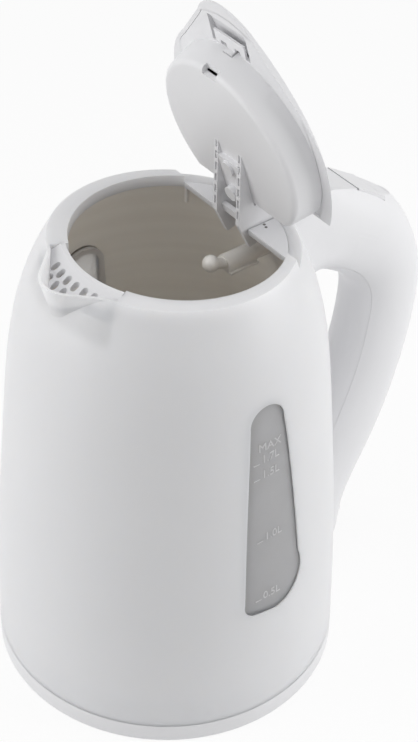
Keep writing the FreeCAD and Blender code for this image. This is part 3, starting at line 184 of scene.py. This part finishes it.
class KettleColours(bpy.types.PropertyGroup):
    """Colours of the kettle's finishes."""

    shell: FloatVectorProperty(name="Shell", description="White moulded plastic of jug, lid and handle",
                               subtype="COLOR", size=3, min=0.0, max=1.0, default=(0.83, 0.83, 0.845))
    # The inner wall's warm tint is painted: painted warm shade standing in for the light inside the
    # translucent jug.
    inside: FloatVectorProperty(name="Inside", description="Inner wall of the jug",
                                subtype="COLOR", size=3, min=0.0, max=1.0, default=(0.945, 0.88, 0.808))
    window: FloatVectorProperty(name="Window", description="Translucent water window",
                                subtype="COLOR", size=3, min=0.0, max=1.0, default=(0.48, 0.48, 0.492))
    # The windows' inner face is painted near-white: painted light, the pane lit through from outside.
    pane_back_painted_light: FloatVectorProperty(name="Window back", description="Inner face of the water windows",
                                   subtype="COLOR", size=3, min=0.0, max=1.0, default=(0.97, 0.965, 0.955))
    inlet: FloatVectorProperty(name="Steam inlet", description="Translucent cover of the steam inlet",
                               subtype="COLOR", size=3, min=0.0, max=1.0, default=(0.96, 0.93, 0.88))
    marks: FloatVectorProperty(name="Marks", description="Litre marks on the windows",
                               subtype="COLOR", size=3, min=0.0, max=1.0, default=(0.62, 0.62, 0.63))


class KettleSizes(bpy.types.PropertyGroup):
    """Sizes of the small pieces that the solids leave out."""

    letter_height: FloatProperty(name="Letter height", description="Height of the litre marks' figures",
                                 unit="LENGTH", min=0.001, max=0.01, default=0.0036)
    mark_rise: FloatProperty(name="Mark rise", description="How far the marks stand out of the window",
                             unit="LENGTH", min=0.00005, max=0.001, default=0.00015)
    dot_radius: FloatProperty(name="Dot radius", description="Radius of the dots on the hinge caps",
                              unit="LENGTH", min=0.0002, max=0.002, default=0.0006)


class Term:
    """A shader socket that can be used in Python expressions."""

    def __init__(self, graph, socket):
        self.graph = graph
        self.socket = socket

    def __add__(self, other):
        return self.graph.math("ADD", self, other)

    def __radd__(self, other):
        return self.graph.math("ADD", other, self)

    def __sub__(self, other):
        return self.graph.math("SUBTRACT", self, other)

    def __rsub__(self, other):
        return self.graph.math("SUBTRACT", other, self)

    def __mul__(self, other):
        return self.graph.math("MULTIPLY", self, other)

    def __rmul__(self, other):
        return self.graph.math("MULTIPLY", other, self)

    def __truediv__(self, other):
        return self.graph.math("DIVIDE", self, other)

    def __pow__(self, other):
        return self.graph.math("POWER", self, other)

    def __lt__(self, other):
        return self.graph.math("LESS_THAN", self, other)

    def __gt__(self, other):
        return self.graph.math("GREATER_THAN", self, other)


class Graph:
    """Node tree of one material or of the world, built from expressions."""

    def __init__(self, tree):
        self.tree = tree
        tree.nodes.clear()

    def node(self, kind, settings=None, inputs=None):
        """Adds a node, sets its own settings first and then the values or links of its sockets."""
        made = self.tree.nodes.new("ShaderNode" + kind)
        for key, value in (settings or {}).items():
            setattr(made, key, value)
        for key, value in (inputs or {}).items():
            if isinstance(value, Term):
                self.tree.links.new(value.socket, made.inputs[key])
            else:
                made.inputs[key].default_value = value
        return made

    def out(self, kind, output=0, settings=None, inputs=None):
        """Adds a node and gives one of its outputs as a term."""
        return Term(self, self.node(kind, settings, inputs).outputs[output])

    def math(self, operation, *terms):
        """Adds one Math node."""
        return self.out("Math", 0, {"operation": operation}, dict(enumerate(terms)))

    def mix(self, share, first, second):
        """Blends two colours."""
        return self.out("Mix", 2, {"data_type": "RGBA"}, {0: share, 6: first, 7: second})

    def mix_shaders(self, share, first, second):
        """Blends two shaders."""
        pair = [Term(self, shader.outputs[0]) for shader in (first, second)]
        return self.node("MixShader", None, {0: share, 1: pair[0], 2: pair[1]})

    def axes(self):
        """Object coordinates as a vector and as its three parts."""
        place = self.out("TexCoord", "Object")
        parts = self.node("SeparateXYZ", None, {0: place})
        return place, [Term(self, socket) for socket in parts.outputs]

    def noise(self, place, scale, detail=2.0):
        """Noise of a given scale, in features per metre."""
        return self.out("TexNoise", "Fac", None, {"Vector": place, "Scale": scale, "Detail": detail})

    def lines(self, place, stretch, detail=2.0):
        """Noise with its own number of features per metre along each axis."""
        return self.noise(self.out("Mapping", 0, None, {"Vector": place, "Scale": stretch}), 1.0, detail)

    def bump(self, height, distance):
        """Normal roughened by a height in metres."""
        return self.out("Bump", 0, None, {"Height": height, "Distance": distance})

    def seen(self):
        """Mask of what the camera sees, straight, mirrored or through a clear piece."""
        path = self.node("LightPath")
        rays = [Term(self, path.outputs["Is %s Ray" % kind]) for kind in ("Camera", "Glossy", "Transmission")]
        return self.math("MINIMUM", rays[0] + rays[1] + rays[2], 1.0)

    def surface(self, shader, kind="Material"):
        """Joins a shader to the output of a material or of the world."""
        self.node("Output" + kind, None, {"Surface": Term(self, shader.outputs[0])})


def new_material(name):
    """An empty material and its graph."""
    material = bpy.data.materials.new(name)
    material.use_nodes = True
    return material, Graph(material.node_tree)


def shade(colour, factor):
    """A colour made darker or lighter, with its alpha."""
    return tuple(min(1.0, part * factor) for part in colour[:3]) + (1.0,)


def between(graph, share, colour, shades):
    """A colour that goes from its darker to its lighter shade with a share."""
    return graph.mix(share, shade(colour, shades[0]), shade(colour, shades[1]))


def drifting(graph, place, colour, drift):
    """A colour that drifts a little over a piece."""
    return between(graph, graph.noise(place, drift[0]), colour, drift[1:])


def plastic(graph, base, roughness, place, grain):
    """Satin moulded plastic with a fine grain on top of a given colour."""
    size, depth = grain
    bumps = graph.noise(place, 1.0 / size, GRAIN_DETAIL)
    return graph.node("BsdfPrincipled", None, {
        "Base Color": base,
        "Roughness": roughness + GRAIN_ROUGHNESS * (bumps - 0.5),
        "Normal": graph.bump(bumps, depth),
        "IOR": PLASTIC_IOR,
    })


def set_inputs(shader, **values):
    """Sets a shader's own sockets, whose names are given with _ for a space."""
    for name, value in values.items():
        shader.inputs[name.replace("_", " ")].default_value = value


def let_light_through(shader, share, depth):
    """Lets a share of the light sink into a plastic and come out up to a depth in metres away."""
    set_inputs(shader, Subsurface_Weight=share, Subsurface_Radius=LIGHT_TINT, Subsurface_Scale=depth)


def moulded(name, colour, roughness=SATIN_ROUGHNESS, grain=FINE_GRAIN):
    """Moulded plastic in one colour that drifts a little over the piece."""
    material, graph = new_material(name)
    place, _ = graph.axes()
    base = drifting(graph, place, colour, MOULD_DRIFT)
    graph.surface(plastic(graph, base, roughness, place, grain))
    return material


def jug_radius(height):
    """Outer radius of the jug at a height in metres, given as a term."""
    level = height * DECIMETRES
    outer = JUG_RADIUS[0] * level + JUG_RADIUS[1]
    for factor in JUG_RADIUS[2:]:
        outer = outer * level + factor
    return outer


def within_wall(x, y, z):
    """Mask of what lies inside the jug's outer skin."""
    return (x * x + y * y) ** 0.5 < jug_radius(z) - WALL_SKIN


def on_flange(graph, x, y, z):
    """Mask of the part of a pane that lies behind the jug's wall, round its opening."""
    below = graph.math("MAXIMUM", OPENING_TOP - z, 0.0)
    above = graph.math("MAXIMUM", z - OPENING_TOP, 0.0)
    across = (x - OPENING_MIDDLE) / (OPENING_HALF + OPENING_SPREAD * below)
    up = above * (1.0 / OPENING_HALF)
    return (across * across + up * up > 1.0) * within_wall(x, y, z)


def jug_finish(colours):
    """White outside; the inner wall gets a painted warm shade for the light inside the translucent jug, and
    faint water lines.
    """
    material, graph = new_material("jug_white")
    place, (x, y, z) = graph.axes()
    below_rim = z + RIM_SLOPE * x < RIM_HEIGHT - COLLAR_BAND
    inside = within_wall(x, y, z) * below_rim
    white = drifting(graph, place, colours.shell, JUG_DRIFT)
    # The inner wall's warm tint is painted shade of the inside of the jug; the water lines on it are the
    # wall's own.
    grey = between(graph, graph.lines(place, WATER_LINES), colours.inside, WATER_LINE_SHADES)
    base = graph.mix(inside, white, grey)
    shader = plastic(graph, base, SATIN_ROUGHNESS + INSIDE_ROUGHER * inside, place, FINE_GRAIN)
    let_light_through(shader, WALL_GLOW, WALL_DEPTH)
    graph.surface(shader)
    return material


def window_finish(colours):
    """Frosted translucent pane, darker towards its foot with painted shade, and near-white on its inner face
    and on its flange with painted light.
    """
    material, graph = new_material("window_frost")
    place, (x, y, z) = graph.axes()
    # The pane darkens towards its foot: painted shade.
    painted_shade_foot = drifting(graph, place, colours.window, PANE_FOOT_SHADE_AND_DRIFT)
    high = drifting(graph, place, colours.window, PANE_HEAD_DRIFT)
    ramp = graph.out("MapRange", 0, {"clamp": True}, {0: z, 1: PANE_FOOT, 2: PANE_HEAD, 3: 0.0, 4: 1.0})
    # Inner face and flange get a near-white colour: painted light coming through the pane.
    painted_light_pale = drifting(graph, place, colours.pane_back_painted_light, PANE_BACK_DRIFT)
    base = graph.mix(within_wall(x, y, z), graph.mix(ramp, painted_shade_foot, high), painted_light_pale)
    pane = plastic(graph, base, PANE_ROUGHNESS, place, PANE_GRAIN)
    set_inputs(pane, Coat_Weight=PANE_COAT, Coat_Roughness=PANE_COAT_ROUGHNESS)
    let_light_through(pane, PANE_GLOW, PANE_DEPTH)
    flange = plastic(graph, painted_light_pale, FLANGE_ROUGHNESS, place, PANE_GRAIN)
    graph.surface(graph.mix_shaders(on_flange(graph, x, y, z), pane, flange))
    return material


def inlet_finish(colours):
    """Pale translucent cover with a soft cloud in it."""
    material, graph = new_material("inlet_frost")
    place, _ = graph.axes()
    base = drifting(graph, place, colours.inlet, INLET_DRIFT)
    shader = plastic(graph, base, INLET_ROUGHNESS, place, INLET_GRAIN)
    set_inputs(shader, Coat_Weight=INLET_COAT)
    let_light_through(shader, INLET_GLOW, WALL_DEPTH)
    graph.surface(shader)
    return material


def seal_finish(colours):
    """Pale soft seal round a window that the light reaches through the wall."""
    material, graph = new_material("seal_pale")
    place, _ = graph.axes()
    # The seal takes the inner wall's colour, with its painted warm shade.
    base = drifting(graph, place, colours.inside, SEAL_DRIFT)
    shader = plastic(graph, base, SEAL_ROUGHNESS, place, SEAL_GRAIN)
    let_light_through(shader, PANE_GLOW, PANE_DEPTH)
    graph.surface(shader)
    return material


def metal(name, colour, roughness, stretch):
    """Metal with fine drawn lines."""
    material, graph = new_material(name)
    place, _ = graph.axes()
    lines = graph.lines(place, stretch, METAL_DETAIL)
    graph.surface(graph.node("BsdfPrincipled", None, {
        "Base Color": between(graph, lines, colour, METAL_SHADES),
        "Metallic": 1.0,
        "Roughness": roughness + METAL_LINE_ROUGHNESS * (lines - 0.5),
        "Normal": graph.bump(lines, METAL_LINE_DEPTH),
    }))
    return material


def link_object(name, data):
    """A new object at the origin, in the scene."""
    made = bpy.data.objects.new(name, data)
    bpy.context.scene.collection.objects.link(made)
    return made


def add_object(name, mesh, material):
    """A new mesh object at the origin with one material."""
    mesh.materials.clear()
    mesh.materials.append(material)
    return link_object(name, mesh)


def plain_mesh(holder):
    """What an object's modifiers or text come to, as a mesh of its own."""
    bpy.context.view_layer.update()
    return bpy.data.meshes.new_from_object(holder.evaluated_get(bpy.context.evaluated_depsgraph_get()))


def give(piece, body):
    """Fixes a finished piece to a body of the frame."""
    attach(piece, body)


def surface_tree(node):
    """Search tree of a solid's surface."""
    mesh = frame["nodes"][node].data
    mesh.calc_loop_triangles()
    return BVHTree.FromPolygons([v.co for v in mesh.vertices],
                                [tuple(t.vertices) for t in mesh.loop_triangles])


def pane_depth(pane, side, x, z):
    """Place of a window's outer face across the jug."""
    hit = pane.ray_cast(Vector((x, side * OUTSIDE, z)), Vector((0.0, -side, 0.0)))[0]
    if hit is None:
        raise RuntimeError("a litre mark lies outside its window")
    return hit.y


def text_mesh(text, height, thickness):
    """Figures as a closed mesh, standing on y = 0, centred on x = 0."""
    curve = bpy.data.curves.new("figures", "FONT")
    curve.body = text
    curve.size = height / CAP_HEIGHT
    curve.extrude = thickness
    curve.align_x = "CENTER"
    curve.resolution_u = FIGURE_STEPS
    holder = link_object("figures", curve)
    mesh = plain_mesh(holder)
    bpy.data.objects.remove(holder)
    bpy.data.curves.remove(curve)
    return mesh


def scatter_tree(name, shape, sizes):
    """Geometry Nodes tree that puts one small shape on every point of a mesh."""
    tree = bpy.data.node_groups.new(name, "GeometryNodeTree")
    face = tree.interface
    face.new_socket("Geometry", in_out="INPUT", socket_type="NodeSocketGeometry")
    face.new_socket("Geometry", in_out="OUTPUT", socket_type="NodeSocketGeometry")
    for label in sizes:
        face.new_socket(label, in_out="INPUT", socket_type="NodeSocketFloat")
    face.new_socket("Finish", in_out="INPUT", socket_type="NodeSocketMaterial")
    start = tree.nodes.new("NodeGroupInput")
    end = tree.nodes.new("NodeGroupOutput")
    join = tree.links.new
    copies = tree.nodes.new("GeometryNodeInstanceOnPoints")
    real = tree.nodes.new("GeometryNodeRealizeInstances")
    finish = tree.nodes.new("GeometryNodeSetMaterial")
    if shape == "disc":
        form = tree.nodes.new("GeometryNodeMeshCylinder")
        form.inputs["Vertices"].default_value = DOT_CORNERS
        join(start.outputs[sizes[0]], form.inputs["Radius"])
        join(start.outputs[sizes[1]], form.inputs["Depth"])
    else:
        form = tree.nodes.new("GeometryNodeMeshCube")
        size = tree.nodes.new("ShaderNodeCombineXYZ")
        for i, label in enumerate(sizes):
            join(start.outputs[label], size.inputs[i])
        join(size.outputs[0], form.inputs["Size"])
    join(start.outputs["Geometry"], copies.inputs["Points"])
    join(form.outputs["Mesh"], copies.inputs["Instance"])
    join(copies.outputs["Instances"], real.inputs["Geometry"])
    join(real.outputs["Geometry"], finish.inputs["Geometry"])
    join(start.outputs["Finish"], finish.inputs["Material"])
    join(finish.outputs["Geometry"], end.inputs["Geometry"])
    return tree


def scatter(name, tree, places, values, material):
    """Copies of a tree's shape at the given places, as one plain mesh."""
    points = bpy.data.meshes.new(name + "_points")
    points.from_pydata(places, [], [])
    holder = link_object(name + "_points", points)
    modifier = holder.modifiers.new("scatter", "NODES")
    modifier.node_group = tree
    wanted = dict(values, Finish=material)
    for item in tree.interface.items_tree:
        if item.in_out == "INPUT" and item.name in wanted:
            modifier[item.identifier] = wanted[item.name]
    mesh = plain_mesh(holder)
    holder.modifiers.remove(modifier)
    bpy.data.objects.remove(holder)
    return add_object(name, mesh, material)


class KETTLE_OT_finishes(bpy.types.Operator):
    """Gives every solid its finish"""

    bl_idname = "kettle.finishes"
    bl_label = "Finishes"

    def execute(self, context):
        colours = context.scene.kettle_colours
        finishes = {
            "white_plastic": moulded("white_moulded", colours.shell),
            "clear_plastic": window_finish(colours),
            "grey_plastic": moulded("grey_moulded", GREY, GREY_ROUGHNESS),
            "seal_rubber": moulded("seal_rubber", RUBBER, RUBBER_ROUGHNESS, RUBBER_GRAIN),
        }
        for slot, values in METALS.items():
            finishes[slot] = metal(*values)
        own = {"body_shell": jug_finish(colours), "steam_inlet_cover": inlet_finish(colours)}
        own["window_seal_near"] = own["window_seal_far"] = seal_finish(colours)
        slots = {part["node"]: part["material_slot"] for part in frame["record"]["subparts"]}
        for name, node in frame["nodes"].items():
            node.data.materials.clear()
            node.data.materials.append(own.get(name) or finishes[slots[name]])
        return {"FINISHED"}


class KETTLE_OT_litre_marks(bpy.types.Operator):
    """Puts the litre figures and their ticks on both windows"""

    bl_idname = "kettle.litre_marks"
    bl_label = "Litre marks"

    def execute(self, context):
        sizes = context.scene.kettle_sizes
        material = moulded("mark_white", context.scene.kettle_colours.marks, MARK_ROUGHNESS)
        tree = scatter_tree("ticks", "bar", ("Length", "Thickness", "Height"))
        values = {"Length": TICK_LENGTH, "Thickness": 2 * sizes.mark_rise, "Height": TICK_HEIGHT}
        for side, name in ((-1, "near"), (1, "far")):
            pane = surface_tree("window_" + name)
            figures = self.figures(pane, side, name, sizes)
            give(add_object("litre_figures_" + name, figures, material), "jug")
            ticks = self.ticks(pane, side)
            give(scatter("litre_ticks_" + name, tree, ticks, values, material), "jug")
        return {"FINISHED"}

    def figures(self, pane, side, name, sizes):
        """All figures of one window as one mesh laid on the pane."""
        whole = bmesh.new()
        for text, x, z in LITRE_MARKS:
            mesh = text_mesh(text, sizes.letter_height, sizes.mark_rise)
            for v in mesh.vertices:
                across = x - side * v.co.x
                height = z + v.co.y
                v.co = (across, pane_depth(pane, side, across, height) + side * v.co.z, height)
            whole.from_mesh(mesh)
            bpy.data.meshes.remove(mesh)
        bmesh.ops.recalc_face_normals(whole, faces=whole.faces)
        figures = bpy.data.meshes.new("litre_figures_" + name)
        whole.to_mesh(figures)
        whole.free()
        return figures

    def ticks(self, pane, side):
        """Middles of the ticks beside one window's numbers."""
        places = []
        for text, x, z in LITRE_MARKS:
            if text[0].isdigit():
                across = x + side * TICK_OFFSET
                places.append((across, pane_depth(pane, side, across, z), z))
        return places


class KETTLE_OT_hinge_dots(bpy.types.Operator):
    """Puts the small moulding dots on the hinge caps"""

    bl_idname = "kettle.hinge_dots"
    bl_label = "Hinge dots"

    def execute(self, context):
        sizes = context.scene.kettle_sizes
        material = moulded("dot_grey", DOT_GREY, DOT_ROUGHNESS)
        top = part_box("hinge_caps")[1].z
        places = [(x, side * y, top) for x, y in HINGE_DOTS for side in (-1, 1)]
        tree = scatter_tree("dots", "disc", ("Radius", "Depth"))
        values = {"Radius": sizes.dot_radius, "Depth": 2 * DOT_RISE}
        give(scatter("hinge_dots", tree, places, values, material), "jug")
        return {"FINISHED"}


class KETTLE_OT_stage(bpy.types.Operator):
    """Sets up the floor, the light and the camera"""

    bl_idname = "kettle.stage"
    bl_label = "Stage"

    def execute(self, context):
        scene = context.scene
        scene.view_settings.view_transform = "Standard"
        self.floor()
        self.world(scene)
        self.lights()
        self.camera(scene)
        return {"FINISHED"}

    def floor(self):
        """Pale floor that shows white and keeps a soft shadow."""
        mesh = bpy.data.meshes.new("floor")
        half = FLOOR_HALF
        corners = [(-half, -half, 0.0), (half, -half, 0.0), (half, half, 0.0), (-half, half, 0.0)]
        mesh.from_pydata(corners, [], [(0, 1, 2, 3)])
        material, graph = new_material("floor_white")
        paint = graph.node("BsdfDiffuse", None, {"Color": FLOOR_PAINT})
        glow = graph.node("Emission", None, {"Color": WHITE, "Strength": 1.0})
        graph.surface(graph.mix_shaders(graph.seen() * FLOOR_GLOW, paint, glow))
        add_object("floor", mesh, material)

    def world(self, scene):
        """White surroundings for the camera, plain grey light for the object."""
        world = bpy.data.worlds.new("studio")
        scene.world = world
        world.use_nodes = True
        graph = Graph(world.node_tree)
        fill = graph.node("Background", None, {"Color": WHITE, "Strength": WORLD_FILL})
        white = graph.node("Background", None, {"Color": WHITE, "Strength": 1.0})
        graph.surface(graph.mix_shaders(graph.seen(), fill, white), "World")

    def lights(self):
        """Large soft panels to the left, to the right and above."""
        for name, place, size, power in STUDIO_PANELS:
            data = bpy.data.lights.new(name, "AREA")
            data.shape = "RECTANGLE"
            data.size, data.size_y = size
            data.energy = power
            lamp = link_object(name, data)
            lamp.location = place
            lamp.rotation_euler = (LIGHT_TARGET - Vector(place)).to_track_quat("-Z", "Y").to_euler()

    def camera(self, scene):
        """The photograph's viewpoint."""
        data = bpy.data.cameras.new("camera")
        data.sensor_width = SENSOR_WIDTH
        data.lens = FOCAL_PIXELS * SENSOR_WIDTH / IMAGE_HEIGHT
        data.shift_x = (IMAGE_WIDTH / 2 - OPTICAL_CENTRE_X) / IMAGE_HEIGHT
        camera = link_object("camera", data)
        turn, pitch = CAMERA_AZIMUTH, CAMERA_PITCH
        ahead = Vector((math.sin(turn), math.cos(turn), 0.0))
        right = Vector((math.cos(turn), -math.sin(turn), 0.0))
        forward = ahead * math.cos(pitch) - Vector((0.0, 0.0, math.sin(pitch)))
        up = right.cross(forward)
        across = right * math.cos(CAMERA_ROLL) + up * math.sin(CAMERA_ROLL)
        upright = up * math.cos(CAMERA_ROLL) - right * math.sin(CAMERA_ROLL)
        matrix = Matrix((across, upright, -forward)).transposed().to_4x4()
        matrix.translation = Vector((0.0, 0.0, CAMERA_HEIGHT)) - ahead * CAMERA_DISTANCE
        camera.matrix_world = matrix
        scene.camera = camera


class KETTLE_PT_panel(bpy.types.Panel):
    """Lists the kettle's steps and settings"""

    bl_idname = "KETTLE_PT_panel"
    bl_label = "Kettle"
    bl_space_type = "VIEW_3D"
    bl_region_type = "UI"
    bl_category = "Kettle"

    def draw(self, context):
        for operator in OPERATORS:
            self.layout.operator(operator.bl_idname)
        for group in (context.scene.kettle_colours, context.scene.kettle_sizes):
            for name in group.__annotations__:
                self.layout.prop(group, name)


OPERATORS = (KETTLE_OT_finishes, KETTLE_OT_litre_marks, KETTLE_OT_hinge_dots, KETTLE_OT_stage)
CLASSES = (KettleColours, KettleSizes) + OPERATORS + (KETTLE_PT_panel,)


def register():
    """Registers the classes and the scene's settings."""
    for item in CLASSES:
        bpy.utils.register_class(item)
    bpy.types.Scene.kettle_colours = PointerProperty(type=KettleColours)
    bpy.types.Scene.kettle_sizes = PointerProperty(type=KettleSizes)


def unregister():
    """Removes what register added."""
    del bpy.types.Scene.kettle_sizes
    del bpy.types.Scene.kettle_colours
    for item in reversed(CLASSES):
        bpy.utils.unregister_class(item)


def main():
    """Builds the kettle's looks."""
    register()
    bpy.ops.kettle.finishes()
    bpy.ops.kettle.litre_marks()
    bpy.ops.kettle.hinge_dots()
    bpy.ops.kettle.stage()


if __name__ == "__main__":
    main()
